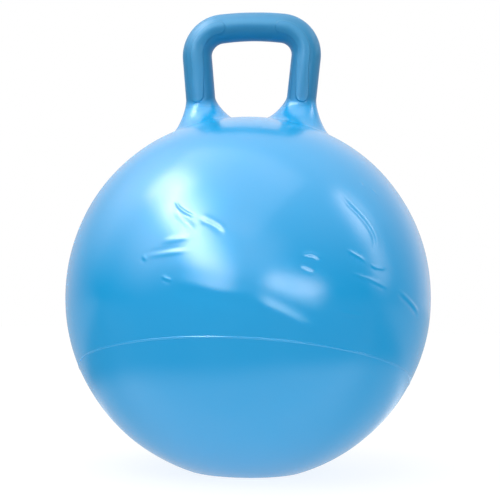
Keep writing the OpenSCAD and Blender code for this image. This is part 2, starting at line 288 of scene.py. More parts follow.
@dataclass(frozen=True)
class MouldingForm:
    """The outside of the ball, as the distance of its skin from the ball's middle.

    The last fields are for the slow hollows: their spread of lengths, and the heights of a
    direction at which they fade out over the flat and under the crown, with the fades' lengths.
    """

    radius: float = 225 * MM
    flat_d: float = 140 * MM
    flat_blend: float = 1.2 * MM
    flat_from: float = 0.2
    crown_d: float = 230 * MM
    crown_drop: float = 2.4 * MM
    crown_blend: float = 3.0 * MM
    seam_drop: float = 101.2 * MM
    seam_lean: float = 16.0
    seam_w: float = 2.0 * MM
    seam_h: float = 0.5 * MM
    seam_blend: float = 1.5
    foot_x: float = 60.02 * MM
    foot_d: float = 88 * MM
    slope_step: float = 0.00025
    steep_from: float = 0.9
    creases: tuple[Crease, ...] = field(default_factory=front_creases)
    wave: float = 0.22 * MM
    wave_length: float = 105 * MM
    wave_spread: Pair = (0.7, 1.6)
    wave_turn: float = 6.28
    wave_count: int = 9
    wave_seed: int = 11
    calm_flat: Pair = (-0.97, 0.12)
    calm_crown: Pair = (0.86, 0.2)

    @property
    def middle(self) -> Array:
        """Middle of the ball."""
        return np.array([0.0, 0.0, math.sqrt(self.radius ** 2 - (self.flat_d / 2) ** 2)])

    @property
    def pole_z(self) -> float:
        """Height of the middle of the crown."""
        return self.middle[2] + self.radius - self.crown_drop

    @property
    def crown_r(self) -> float:
        """Radius of the broad crown."""
        sag = self.pole_z - self.middle[2] - math.sqrt(self.radius ** 2 - (self.crown_d / 2) ** 2)
        return ((self.crown_d / 2) ** 2 + sag ** 2) / (2 * sag)

    @property
    def crown_middle(self) -> Array:
        """Middle of the crown's sphere."""
        return np.array([0.0, 0.0, self.pole_z - self.crown_r])

    @property
    def seam_axis(self) -> Array:
        """Direction square to the seam's plane."""
        lean = math.radians(self.seam_lean)
        return np.array([0.0, math.sin(lean), math.cos(lean)])

    @property
    def foot_axis(self) -> Array:
        """Direction from the crown's middle through the middle of the right foot."""
        rise = math.sqrt(self.crown_r ** 2 - self.foot_x ** 2)
        return unit(np.array([self.foot_x, 0.0, rise]))

    def reach(self, directions: Array) -> Array:
        """Measures the plain skin: a sphere with a broad crown and a flat.

        Args:
            directions: From the ball's middle, one to a row.

        Returns:
            The distance of the skin from the ball's middle along each direction.
        """
        offset = self.crown_middle - self.middle
        along = directions @ offset
        crown = along + np.sqrt(along ** 2 - offset @ offset + self.crown_r ** 2)
        down = -directions[:, 2]
        flat = np.where(down > self.flat_from,
                        self.middle[2] / np.maximum(down, self.flat_from), 2 * self.radius)
        ball = smooth_min(np.full(len(directions), self.radius), flat, self.flat_blend)
        return smooth_min(ball, crown, self.crown_blend)

    def bead(self, directions: Array) -> Array:
        """Shapes the mould seam's bead, whose edges are soft.

        Args:
            directions: From the ball's middle, one to a row.

        Returns:
            The bead's height along each direction.
        """
        level = math.acos(-self.seam_drop / self.radius)
        off = (np.arccos(np.clip(directions @ self.seam_axis, -1, 1)) - level) * self.radius
        reach = self.seam_blend * self.seam_w / 2
        return self.seam_h * (1 + np.cos(math.pi * np.clip(off / reach, -1, 1))) / 2

    def waves(self, directions: Array) -> Array:
        """Draws the slow hollows of the blown skin, with none at the crown and on the flat.

        Args:
            directions: From the ball's middle, one to a row.

        Returns:
            The height of the hollows along each direction, mostly negative.
        """
        draw = np.random.default_rng(self.wave_seed)
        waves = np.zeros(len(directions))
        for turn in unit(draw.normal(size=(self.wave_count, 3))):
            pitch = self.wave_length * draw.uniform(*self.wave_spread)
            phase = draw.uniform(0, self.wave_turn)
            waves += np.sin(2 * math.pi * self.radius / pitch * (directions @ turn) + phase)
        low = smooth_step((directions[:, 2] - self.calm_flat[0]) / self.calm_flat[1])
        high = smooth_step((self.calm_crown[0] - directions[:, 2]) / self.calm_crown[1])
        return self.wave * (waves / math.sqrt(self.wave_count) - 1.0) * low * high

    def skin(self, directions: Array) -> Array:
        """Finds the outer skin, with its hollows, its creases and the seam's bead.

        Args:
            directions: From the ball's middle, one to a row.

        Returns:
            The skin's point along each direction.
        """
        relief = self.waves(directions) + self.bead(directions)
        for crease in self.creases:
            relief += crease.relief(directions, self.radius)
        return self.middle + directions * (self.reach(directions) + relief)[:, None]

    def normals(self, directions: Array) -> Array:
        """Finds how the outer skin faces, from its slope to both sides of each direction.

        Args:
            directions: From the ball's middle, one to a row.

        Returns:
            The outward normal at each direction.
        """
        level = np.abs(directions[:, 2:]) < self.steep_from
        first = unit(np.cross(directions, np.where(level, [[0.0, 0.0, 1.0]], [[1.0, 0.0, 0.0]])))
        slopes = []
        for side in (first, np.cross(directions, first)):
            step = self.slope_step * side
            slopes.append(self.skin(unit(directions + step)) - self.skin(unit(directions - step)))
        return unit(np.cross(*slopes))

    def foot_ring(self, angles: Array, off: float, side: int) -> Array:
        """Directions, from the ball's middle, of a ring round a foot's axis.

        Args:
            angles: Angles round the foot's axis, from the outward side.
            off: Distance of the ring from the foot's axis.
            side: 1 for the right foot and -1 for the left.

        Returns:
            Unit directions, one to a row.
        """
        axis = self.foot_axis
        across = np.array([axis[2], 0.0, -axis[0]])
        tilt = math.asin(off / self.crown_r)
        ring = np.cos(angles)[:, None] * across + np.sin(angles)[:, None] * [0.0, 1.0, 0.0]
        points = self.crown_middle + self.crown_r * (math.cos(tilt) * axis + math.sin(tilt) * ring)
        return unit((points - self.middle) * np.array([side, 1.0, 1.0]))


def fill(tree: Tree, node: bpy.types.Node, inputs: Inputs) -> None:
    """Fills the inputs of a node.

    Args:
        tree: The node tree.
        node: The node.
        inputs: A socket to link or a value to set, for each input.
    """
    for name, given in inputs.items():
        if isinstance(given, Socket):
            tree.links.new(given, node.inputs[name])
        else:
            node.inputs[name].default_value = given


def add(tree: Tree, kind: str, output: str, inputs: Inputs | None = None,
        operation: str | None = None) -> Socket:
    """Adds a node to a tree.

    Args:
        tree: The node tree.
        kind: Type of the node, without its first word, ShaderNode.
        output: Name of the output that is wanted.
        inputs: A socket to link or a value to set, for each input.
        operation: What the node works out, where it does arithmetic.

    Returns:
        The output.
    """
    node = tree.nodes.new("ShaderNode" + kind)
    if operation:
        node.operation = operation
    fill(tree, node, inputs or {})
    return node.outputs[output]


def ramp(tree: Tree, value: Socket, limits: Limits, change: Change = Change.SOFT) -> Socket:
    """A change with a value.

    Args:
        tree: The node tree.
        value: The value.
        limits: Where the change starts and ends, and what it goes from and to.
        change: How it goes.

    Returns:
        The changing value.
    """
    node = tree.nodes.new("ShaderNodeMapRange")
    node.interpolation_type = change.value
    names = ("From Min", "From Max", "To Min", "To Max")
    fill(tree, node, {"Value": value, **dict(zip(names, limits))})
    return node.outputs["Result"]


def combined(tree: Tree, operation: str, first: Socket, second: Socket) -> Socket:
    """The sum or product of two values."""
    return add(tree, "Math", "Value", {0: first, 1: second}, operation)


def vector(tree: Tree, operation: str, inputs: Inputs, output: str = "Vector") -> Socket:
    """The result of one step of vector arithmetic."""
    return add(tree, "VectorMath", output, inputs, operation)


def mixed(tree: Tree, share: Socket, first: Socket | tuple[float, ...], second: Colour) -> Socket:
    """Mixes two colours.

    Args:
        tree: The node tree.
        share: The second colour's share.
        first: The first colour, fixed or from a node.
        second: The second colour.

    Returns:
        The mixed colour.
    """
    node = tree.nodes.new("ShaderNodeMix")
    node.data_type = "RGBA"
    fill(tree, node, {"Factor": share, "A": first, "B": (*second, 1.0)})
    return node.outputs["Result"]


def by_ray(tree: Tree, ray: Ray, usual: Socket, special: Socket) -> Socket:
    """The usual shader, and a special one for one kind of ray."""
    share = add(tree, "LightPath", ray.value)
    return add(tree, "MixShader", "Shader", {"Fac": share, 1: usual, 2: special})


@dataclass(frozen=True)
class Finish:
    """Look of a moulded plastic: its colours, gloss and fine surface."""

    name: str
    colour: Colour
    mottle: Colour
    roughness: float
    specular: float = 0.5
    mottle_scale: Pair = (9.0, 4.0)
    cloud: float = 0.03
    cloud_scale: Pair = (30.0, 3.0)
    cloud_range: Pair = (0.3, 0.7)
    grain: float = 0.02
    grain_depth: float = 0.1 * MM
    grain_scale: Pair = (1 / (1.6 * MM), 2.0)
    fade_colour: Colour | None = None
    fade_range: Pair = (0.0, 1.0)
    fade_roughness: float = 0.0

    def build(self) -> bpy.types.Material:
        """Makes the material.

        Returns:
            A material of Blender's nodes that reads only the piece's own coordinates.
        """
        material = bpy.data.materials.new(self.name)
        material.use_nodes = True
        tree = material.node_tree
        place = add(tree, "TexCoord", "Object")
        drift = self.noise(tree, place, self.mottle_scale)
        colour = mixed(tree, drift, (*self.colour, 1.0), self.mottle)
        spread = (self.roughness - self.cloud, self.roughness + self.cloud)
        roughness = ramp(tree, self.noise(tree, place, self.cloud_scale),
                         (*self.cloud_range, *spread), Change.EVEN)
        # Fades to a second colour with height; on the handle this deeper blue is partly painted
        # shade.
        if self.fade_colour:
            height = add(tree, "SeparateXYZ", "Z", {"Vector": place})
            rise = ramp(tree, height, (*self.fade_range, 0.0, 1.0))
            colour = mixed(tree, rise, colour, self.fade_colour)
            roughness = add(tree, "Math", "Value",
                            {0: rise, 1: self.fade_roughness, 2: roughness}, "MULTIPLY_ADD")
        normal = add(tree, "Bump", "Normal", {
            "Strength": self.grain, "Distance": self.grain_depth,
            "Height": self.noise(tree, place, self.grain_scale)})
        fill(tree, tree.nodes["Principled BSDF"], {
            "Base Color": colour, "Roughness": roughness, "Normal": normal,
            "Specular IOR Level": self.specular})
        return material

    @staticmethod
    def noise(tree: Tree, place: Socket, scale: Pair) -> Socket:
        """A noise over the piece, with its scale and detail."""
        return add(tree, "TexNoise", "Fac",
                   {"Vector": place, "Scale": scale[0], "Detail": scale[1]})


def linked(name: str, data: bpy.types.ID) -> Piece:
    """Puts a new object in the scene.

    Args:
        name: Name of the object.
        data: Its mesh, lamp or camera.

    Returns:
        The object, at the origin.
    """
    piece = bpy.data.objects.new(name, data)
    bpy.context.scene.collection.objects.link(piece)
    return piece


def finished(name: str, bm: BMesh, material: bpy.types.Material) -> Piece:
    """Turns a bmesh into a linked object with smooth faces and one material.

    Args:
        name: Name of the piece.
        bm: The mesh, which is freed.
        material: The material of every face.

    Returns:
        The object, at the origin.
    """
    mesh = bpy.data.meshes.new(name)
    for face in bm.faces:
        face.smooth = True
    bm.to_mesh(mesh)
    bm.free()
    mesh.materials.append(material)
    return linked(name, mesh)


def read_all(items: bpy.types.bpy_prop_collection, name: str, columns: int = 0) -> Array:
    """Reads one property of all the items of a mesh's list.

    Args:
        items: The vertices, corners, faces or values of an attribute.
        name: Name of the property.
        columns: How many numbers it has, or 0 where it is one whole number.

    Returns:
        The property's values, one item to a row.
    """
    values = np.zeros(len(items) * max(columns, 1), float if columns else np.int32)
    items.foreach_get(name, values)
    return values.reshape(-1, columns) if columns else values


def shade(mesh: Mesh, normals: Array, outside: Array) -> None:
    """Gives the outer faces the form's own normals, and the other faces their flat ones.

    Args:
        mesh: The mesh.
        normals: One normal for each vertex.
        outside: True for each vertex on the outer skin.
    """
    corners = read_all(mesh.loops, "vertex_index")
    starts = read_all(mesh.polygons, "loop_start")
    owner = np.repeat(np.arange(len(starts)), read_all(mesh.polygons, "loop_total"))
    skin = np.logical_and.reduceat(outside[corners], starts)[owner]
    flat = read_all(mesh.polygons, "normal", 3)[owner]
    mesh.normals_split_custom_set(unit(np.where(skin[:, None], normals[corners], flat)))


def coordinates(bm: BMesh) -> Array:
    """Places of all vertices of a bmesh, one to a row."""
    return np.array([v.co[:] for v in bm.verts])


@dataclass
class BallSkin:
    """The ball's part of the moulding, parted from the handle at each foot's rim.

    The last fields are for the meshes: the fineness of both spheres, the height of a direction
    above which the holes lie, how many edges give an edge's length, the scale at which rims are
    filled, the rings along the seam in shares of half its width, and how near a crease the faces
    are divided, in widths of the crease.
    """

    form: MouldingForm
    finish: Finish
    rim_angles: Array
    wall: float = 1.2 * MM
    valve_hole_d: float = 26.1 * MM
    valve_sides: int = 96
    boss_d: float = 44 * MM
    boss_t: float = 3 * MM
    fineness: int = 7
    inner_fineness: int = 6
    holes_above: float = 0.8
    edge_samples: int = 50
    fill_scale: float = 1000.0
    seam_rings: tuple[float, ...] = (-1.55, -1.25, -0.95, -0.65, -0.32, 0.0,
                                     0.32, 0.65, 0.95, 1.25, 1.55)
    near_widths: Pair = (3.6, 2.2)
    broad_crease: float = 5 * MM
    broad_share: float = 0.5
    least_edge: float = 1.3 * MM

    def build(self) -> Piece:
        """Models the skin as a closed wall with an outside and an inside.

        Returns:
            The finished piece, riding on the ball.
        """
        bm, inner = self.sphere(Wall.OUTSIDE), self.sphere(Wall.INSIDE)
        inner_mesh = bpy.data.meshes.new("inner_wall")
        inner.to_mesh(inner_mesh)
        inner.free()
        count = len(bm.verts)
        bm.from_mesh(inner_mesh)
        bpy.data.meshes.remove(inner_mesh)
        self.place(bm, count)
        self.close_rims(bm)
        bmesh.ops.triangulate(bm, faces=bm.faces)
        bmesh.ops.recalc_face_normals(bm, faces=bm.faces)
        piece = finished("ball_moulding", bm, self.finish.build())
        self.smooth_shade(piece.data)
        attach(piece, "ball")
        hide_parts("ball_skin")
        return piece

    def sphere(self, side: Wall) -> BMesh:
        """Models one side of the wall as a plain sphere with its holes.

        Args:
            side: Outside, which is finer along the seam and the creases, or inside.

        Returns:
            The sphere, with its side of the wall noted in each vertex.
        """
        bm = bmesh.new()
        layer = bm.verts.layers.int.new("wall")
        fineness = self.fineness if side is Wall.OUTSIDE else self.inner_fineness
        bmesh.ops.create_icosphere(bm, subdivisions=fineness, radius=self.form.radius)
        if side is Wall.OUTSIDE:
            self.score_seam(bm)
            self.open_holes(bm)
            self.refine(bm)
        else:
            self.open_holes(bm)
            bmesh.ops.reverse_faces(bm, faces=bm.faces)
        for vert in bm.verts:
            vert[layer] = side.value
        return bm

    def rims(self) -> list[Array]:
        """Works out the rims of the holes.

        Returns:
            Each rim as directions from the ball's middle, the feet's before the valve's.
        """
        rims = [self.form.foot_ring(self.rim_angles, self.form.foot_d / 2, side)
                for side in (1, -1)]
        angles = np.arange(self.valve_sides) * 2 * math.pi / self.valve_sides
        tilt = math.asin(self.valve_hole_d / 2 / self.form.radius)
        level = np.full(len(angles), math.cos(tilt))
        rims.append(np.stack([math.sin(tilt) * np.cos(angles),
                              math.sin(tilt) * np.sin(angles), level], axis=-1))
        return rims

    def score_seam(self, bm: BMesh) -> None:
        """Cuts edge rings along the seam, close enough to carry its bead.

        Args:
            bm: The sphere.
        """
        axis = Vector(self.form.seam_axis)
        slope = math.sqrt(1 - (self.form.seam_drop / self.form.radius) ** 2)
        for share in self.seam_rings:
            level = -self.form.seam_drop + share * (self.form.seam_w / 2) * slope
            bmesh.ops.bisect_plane(bm, geom=bm.verts[:] + bm.edges[:] + bm.faces[:], dist=MERGE,
                                   plane_co=axis * level, plane_no=axis)

    def open_holes(self, bm: BMesh) -> None:
        """Opens the holes for the feet and the valve, and fills up to their exact rims.

        The rims are filled at a larger scale, because the operator drops the smallest faces.

        Args:
            bm: The sphere.
        """
        edge_l = max(e.calc_length() for e in list(bm.edges)[:self.edge_samples])
        directions = unit(coordinates(bm))
        gone = np.zeros(len(directions), bool)
        high = np.flatnonzero(directions[:, 2] > self.holes_above)
        for rim in self.rims():
            axis = unit(rim.mean(axis=0))
            inside = directions[high] @ axis > (rim @ axis).max()
            gaps = np.arccos(np.clip(directions[high] @ rim.T, -1, 1)).min(axis=1)
            gone[high] |= inside | (gaps * self.form.radius < edge_l)
        bm.verts.ensure_lookup_table()
        stray = [bm.verts[int(i)] for i in np.flatnonzero(gone)]
        while stray:
            bmesh.ops.delete(bm, geom=stray, context="VERTS")
            stray = [v for v in bm.verts
                     if not v.link_faces or sum(e.is_boundary for e in v.link_edges) > 2]
        bmesh.ops.delete(bm, geom=[e for e in bm.edges if e.is_wire], context="EDGES")
        gap = {e for e in bm.edges if e.is_boundary}
        for rim in self.rims():
            circle = bmesh.ops.create_circle(bm, segments=len(rim), radius=1.0)["verts"]
            for vert, direction in zip(circle, rim):
                vert.co = Vector(direction) * self.form.radius
                gap |= set(vert.link_edges)
        bmesh.ops.scale(bm, vec=[self.fill_scale] * 3, verts=bm.verts)
        bmesh.ops.triangle_fill(bm, edges=list(gap), use_beauty=True, normal=(0.0, 0.0, 1.0))
        bmesh.ops.scale(bm, vec=[1.0 / self.fill_scale] * 3, verts=bm.verts)

    def refine(self, bm: BMesh) -> None:
        """Divides the faces near each crease, twice close to it.

        Args:
            bm: The sphere.
        """
        for limit in self.near_widths:
            directions = unit(coordinates(bm))
            close = np.zeros(len(directions), bool)
            for crease in self.form.creases:
                share = 1.0 if crease.width < self.broad_crease else self.broad_share
                close |= crease.nearness(directions, self.form.radius) < limit * share
            bm.verts.ensure_lookup_table()
            edges = [e for e in bm.edges if all(close[v.index] for v in e.verts)
                     and e.calc_length() > self.least_edge]
            bmesh.ops.subdivide_edges(bm, edges=edges, cuts=1, use_grid_fill=True)
            bmesh.ops.triangulate(bm, faces=[f for f in bm.faces if len(f.verts) > 3])

    def place(self, bm: BMesh, outer_count: int) -> None:
        """Moves every vertex from the plain sphere to the skin's outside or inside.

        Args:
            bm: Both spheres, the outside first.
            outer_count: Number of vertices on the outside.
        """
        directions = unit(coordinates(bm))
        outer, inner = np.split(directions, [outer_count])
        boss = np.hypot(inner[:, 0], inner[:, 1]) * self.form.radius < self.boss_d / 2
        depth = np.where(boss & (inner[:, 2] > 0), self.boss_t, self.wall)
        inside = self.form.middle + inner * (self.form.reach(inner) - depth)[:, None]
        for vert, point in zip(bm.verts, np.vstack([self.form.skin(outer), inside])):
            vert.co = point

    def close_rims(self, bm: BMesh) -> None:
        """Joins the outside to the inside round each hole.

        Args:
            bm: Both sides of the wall.
        """
        open_edges = [e for e in bm.edges if e.is_boundary]
        starts = unit(np.array([e.verts[0].co[:] for e in open_edges]) - self.form.middle)
        for rim in self.rims():
            near = (starts @ rim.T).max(axis=1) > 1.0 - MERGE
            bmesh.ops.bridge_loops(bm, edges=[e for e, found in zip(open_edges, near) if found])

    def smooth_shade(self, mesh: Mesh) -> None:
        """Sets the normals of the form itself on the outside.

        Args:
            mesh: The finished wall.
        """
        outside = read_all(mesh.attributes["wall"].data, "value") == Wall.OUTSIDE.value
        places = read_all(mesh.vertices, "co", 3)
        shade(mesh, self.form.normals(unit(places - self.form.middle)), outside)
        mesh.attributes.remove(mesh.attributes["wall"])


@dataclass
class LoopHandle:
    """The handle's part of the moulding: a hollow loop whose two feet widen into the crown.

    The middle line of its right half starts at the top of the flare. The last fields are for the
    mesh: the steps round the tube, the least share of half a pad that they spread over at its
    ends, the steps along the tube, and those from a pad's end in millimetres.
    """

    form: MouldingForm
    finish: Finish
    width: float = 173 * MM
    height: float = 132 * MM
    leg_d: float = 36.5 * MM
    bar_d: float = 35 * MM
    wall: float = 2.4 * MM
    rim_wall: float = 1.2 * MM
    corner_r: float = 33.5 * MM
    arch_r: float = 330 * MM
    leg_lean: float = 5.5
    flare_h: float = 27 * MM
    side_drop: float = 1 * MM
    front_drop: float = 10 * MM
    bore_d: float = 62 * MM
    pull_share: float = 0.22
    pad_w: float = 16 * MM
    pad_h: float = 0.8 * MM
    pad_edge: float = 1.1 * MM
    pad_start: float = -8.5 * MM
    pad_sway: float = 2 * MM
    pad_sway_l: float = 48 * MM
    bar_plain_w: float = 63 * MM
    plain_steps: int = 12
    edge_steps: int = 6
    pad_steps: int = 12
    least_spread: float = 0.22
    least_top: float = 0.02
    flare_steps: int = 30
    drop_steps: int = 16
    inner_steps: int = 36
    inner_flare_steps: int = 8
    inner_drop_steps: int = 4
    path_step: float = 1.6 * MM
    least_step: float = 0.2 * MM
    last_step: float = 0.5 * MM
    end_steps: tuple[float, ...] = (0, 0.25, 0.5, 0.8, 1.2, 1.7, 2.4, 3.2, 4.2, 5.5, 7)

    def __post_init__(self) -> None:
        """Works out the middle line of the right half: arch, corner and leg, all tangent."""
        self.leg_r, self.bar_r = self.leg_d / 2, self.bar_d / 2
        arch_z = self.form.pole_z + self.height - self.bar_r - self.arch_r
        self.arch_c = np.array([0.0, 0.0, arch_z])
        corner_x = self.width / 2 - self.leg_r - self.corner_r
        rise = math.sqrt((self.arch_r - self.corner_r) ** 2 - corner_x ** 2)
        self.corner_c = np.array([corner_x, 0.0, self.arch_c[2] + rise])
        self.corner_start = math.asin(corner_x / (self.arch_r - self.corner_r))
        self.corner_end = math.radians(90 + self.leg_lean)
        leg_top = self.corner_c + self.corner_r * self.outward(self.corner_end)
        self.leg_down = self.downward(self.corner_end)
        self.leg_l = (leg_top[2] - self.form.pole_z - self.flare_h) / -self.leg_down[2]
        self.flare_start = leg_top + self.leg_down * self.leg_l
        self.corner_l = self.corner_r * (self.corner_end - self.corner_start)
        self.half_l = self.leg_l + self.corner_l + self.arch_r * self.corner_start

    @staticmethod
    def outward(angle: float) -> Array:
        """Direction away from the loop's middle, at an angle from straight up."""
        return np.array([math.sin(angle), 0.0, math.cos(angle)])

    @staticmethod
    def downward(angle: float) -> Array:
        """Direction down the tube, at an angle from straight up."""
        return np.array([math.cos(angle), 0.0, -math.sin(angle)])

    def path(self, s: float) -> tuple[Array, float]:
        """Finds a point of the middle line.

        Args:
            s: Distance up the line.

        Returns:
            The point, and the angle from straight up at which the line's outward side faces.
        """
        if s <= self.leg_l:
            return self.flare_start - self.leg_down * s, self.corner_end
        if s <= self.leg_l + self.corner_l:
            angle = self.corner_end - (s - self.leg_l) / self.corner_r
            return self.corner_c + self.corner_r * self.outward(angle), angle
        angle = (self.half_l - s) / self.arch_r
        return self.arch_c + self.arch_r * self.outward(angle), angle

    def tube_r(self, s: float) -> float:
        """Radius of the tube, which thins from the top of the leg to the middle of the bar."""
        share = max(0.0, s - self.leg_l) / (self.half_l - self.leg_l)
        return self.leg_r + (self.bar_r - self.leg_r) * share

    def pad_depth(self, s: Array | float) -> Array:
        """Distance inside the nearer end of the pad, negative beyond it."""
        return np.minimum(s - self.pad_start, self.half_l - self.bar_plain_w / 2 - s)

    def pad_angle(self, s: Array | float) -> Array:
        """Angle of the pad's middle from the outward side, turned inward as it climbs the leg."""
        climb = smooth_step((s - self.pad_start) / self.pad_sway_l)
        return math.pi / 2 - self.pad_sway * (1.0 - 2.0 * climb) / self.leg_r

    def columns(self, s: float) -> Array:
        """Spreads the facets round the tube, gathered along the pads' edges.

        Args:
            s: Distance up the middle line.

        Returns:
            The angles of the facets' edges from the outward side, once round.
        """
        half = self.pad_w / 2
        depth = float(self.pad_depth(s))
        spread = half
        if -half < depth < half:
            gap = 1.0 - abs(depth) / half
            spread = half * max(self.least_spread, math.sqrt(1.0 - gap ** 2))
        top = math.asin(max(spread - self.pad_edge, self.least_top * half) / self.leg_r)
        foot = math.asin((spread + self.pad_edge) / self.leg_r)
        middle = float(self.pad_angle(s))
        marks = (0.0, middle - foot, middle - top, middle + top, middle + foot, math.pi)
        steps = (self.plain_steps, self.edge_steps, self.pad_steps, self.edge_steps,
                 self.plain_steps)
        front = np.concatenate([np.linspace(start, end, count, endpoint=False)
                                for start, end, count in zip(marks, marks[1:], steps)])
        return np.concatenate([front, [math.pi], 2 * math.pi - front[:0:-1]])

    def pad_rise(self, s: Array, angles: Array, radius: float) -> Array:
        """Raises the grip pads over the tube.

        Args:
            s: Distance up the middle line of each point.
            angles: Angle of each point from the outward side.
            radius: Radius of the tube.

        Returns:
            The height of the pads at each point.
        """
        half = self.pad_w / 2
        folded = math.pi - np.abs(angles - math.pi)
        across = (folded - self.pad_angle(s)) * radius
        short = np.maximum(half - self.pad_depth(s), 0.0)
        inside = half - np.hypot(across, short)
        return self.pad_h * smooth_step(0.5 + inside / self.pad_edge)

    def ring(self, s: Array, angles: Array, radius: float, inset: float) -> Array:
        """Places points round the tube, each at its own distance up the middle line.

        Args:
            s: Distance up the middle line of each point.
            angles: Angle of each point from the outward side.
            radius: Radius of the tube.
            inset: How far inside the tube the points lie. The pads are on the outside alone.

        Returns:
            The points, one to a row.
        """
        places = [self.path(float(level)) for level in s]
        middle = np.array([place[0] for place in places])
        out = np.array([self.outward(place[1]) for place in places])
        size = radius - inset + (0.0 if inset else self.pad_rise(s, angles, radius))
        rim = np.cos(angles)[:, None] * out + np.sin(angles)[:, None] * [0.0, 1.0, 0.0]
        return middle + np.broadcast_to(size, angles.shape)[:, None] * rim

    def tube_ring(self, s: float, inset: float) -> Array:
        """One level ring of points round the tube."""
        angles = self.columns(s)
        return self.ring(np.full(len(angles), s), angles, self.tube_r(s), inset)

    def leg_ring(self, share: float, inset: float) -> Array:
        """Places one ring of the leg's end, which goes further down at its front and back.

        Args:
            share: Share of the way down the leg's end.
            inset: How far inside the tube the points lie.

        Returns:
            The points, one to a row.
        """
        angles = self.columns(-share * self.front_drop)
        drop = self.side_drop + (self.front_drop - self.side_drop) * np.sin(angles) ** 2
        return self.ring(-share * drop, angles, self.leg_r, inset)

    def foot_angles(self) -> Array:
        """Angles round the foot's axis of the facets that end on the crown."""
        return self.columns(-self.front_drop)

    def foot_ring(self, off: float, depth: float) -> tuple[Array, Array]:
        """Places a ring on the crown round the right foot.

        Args:
            off: Distance of the ring from the foot's axis.
            depth: How far below the skin it lies.

        Returns:
            The ring's points, and the direction along the crown to the foot's middle from each.
        """
        directions = self.form.foot_ring(self.foot_angles(), off, 1)
        points = self.form.middle + directions * (self.form.reach(directions) - depth)[:, None]
        normals = unit(points - self.form.crown_middle)
        axis = self.form.foot_axis
        return points, unit(axis - normals * (normals @ axis)[:, None])

    def flare(self, inset: float, off: float, depth: float,
              steps: tuple[int, int]) -> list[Array]:
        """Widens the right leg into its foot.

        Args:
            inset: How far inside the tube the surface lies.
            off: Distance of its foot from the foot's axis.
            depth: How far below the skin its foot lies.
            steps: Number of rings in the widening foot and in the leg's end.

        Returns:
            The rings, from the crown up to the tube.
        """
        leg = self.leg_ring(1.0, inset)
        foot, inward = self.foot_ring(off, depth)
        pull = self.pull_share * np.linalg.norm(foot - leg, axis=1)[:, None]
        first, second = leg + pull * self.leg_down, foot + pull * inward
        foot_steps, leg_steps = (np.linspace(1.0, 0.0, count, endpoint=False) for count in steps)
        rings = [(1 - t) ** 3 * leg + 3 * (1 - t) ** 2 * t * first
                 + 3 * (1 - t) * t ** 2 * second + t ** 3 * foot for t in foot_steps]
        return rings + [self.leg_ring(share, inset) for share in leg_steps]

    def stations(self) -> list[float]:
        """Chooses where the tube has its rings, close together at the pads' ends.

        Returns:
            Distances up the middle line, in order.
        """
        even = list(np.arange(0.0, self.half_l, self.path_step))
        end = self.half_l - self.bar_plain_w / 2
        fine = [end + side * step * MM for side in (-1, 1) for step in self.end_steps]
        kept = []
        for s in sorted(even + fine):
            if (0 <= s < self.half_l - self.last_step
                    and (not kept or s - kept[-1] > self.least_step)):
                kept.append(s)
        return kept

    def shell(self) -> tuple[list[Array], list[Array]]:
        """Places all the rings of the wall, in turn round it.

        Returns:
            The outside's rings over the loop to the left foot, and the inside's rings back to
            the right foot.
        """
        outer = self.flare(0.0, self.form.foot_d / 2, 0.0, (self.flare_steps, self.drop_steps))
        outer += [self.tube_ring(s, 0.0) for s in self.stations()]
        inner = self.flare(self.wall, self.bore_d / 2, self.rim_wall,
                           (self.inner_flare_steps, self.inner_drop_steps))
        inner += [self.tube_ring(s, self.wall)
                  for s in np.linspace(0, self.half_l, self.inner_steps, endpoint=False)]
        inner.insert(0, self.foot_ring(self.form.foot_d / 2, self.rim_wall)[0])
        mirror = np.array([-1.0, 1.0, 1.0])
        outside = [*outer, self.tube_ring(self.half_l, 0.0), *(r * mirror for r in outer[::-1])]
        inside = [*(r * mirror for r in inner), self.tube_ring(self.half_l, self.wall),
                  *inner[::-1]]
        return outside, inside

    def build(self) -> Piece:
        """Models the loop as one closed wall.

        Returns:
            The finished piece, riding on the ball.
        """
        outside, inside = self.shell()
        rings = np.array(outside + inside)
        rows, sides = rings.shape[:2]
        numbers = np.arange(rows * sides).reshape(rows, sides)
        wrapped = np.pad(numbers, ((0, 1), (0, 1)), mode="wrap").ravel()
        bm = bmesh.new()
        layer = bm.verts.layers.int.new("ring_point")
        bmesh.ops.create_grid(bm, x_segments=sides, y_segments=rows, size=1.0)
        for vert, number in zip(bm.verts, wrapped):
            vert.co = rings[divmod(number, sides)]
            vert[layer] = int(number)
        bmesh.ops.remove_doubles(bm, verts=bm.verts, dist=MERGE)
        bmesh.ops.recalc_face_normals(bm, faces=bm.faces)
        piece = finished("handle_moulding", bm, self.finish.build())
        self.smooth_shade(piece.data, rings[:len(outside)])
        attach(piece, "ball")
        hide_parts("handle")
        return piece

    def smooth_shade(self, mesh: Mesh, skin: Array) -> None:
        """Sets normals from the slopes of the rings, and the ball's own where the two meet.

        Args:
            mesh: The finished wall, with the number of its ring point in each vertex.
            skin: The outside's rings.
        """
        across = np.roll(skin, -1, axis=1) - np.roll(skin, 1, axis=1)
        normals = unit(np.cross(np.gradient(skin, axis=0), across))
        top = len(skin) // 2
        if normals[top, 0] @ (skin[top, 0] - self.path(self.half_l)[0]) < 0:
            normals = -normals
        for row in (0, -1):
            normals[row] = self.form.normals(unit(skin[row] - self.form.middle))
        number = read_all(mesh.attributes["ring_point"].data, "value")
        outside = number < skin.shape[0] * skin.shape[1]
        shade(mesh, normals.reshape(-1, 3)[np.where(outside, number, 0)], outside)
        mesh.attributes.remove(mesh.attributes["ring_point"])


@dataclass
class ValvePiece:
    """The valve's bush or its stopper, whose shape is the model's own."""

    node: str
    finish: Finish

    def build(self) -> Piece:
        """Gives the piece its finish.

        Returns:
            The model's own object.
        """
        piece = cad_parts[self.node]
        piece.data.materials.clear()
        piece.data.materials.append(self.finish.build())
        return piece


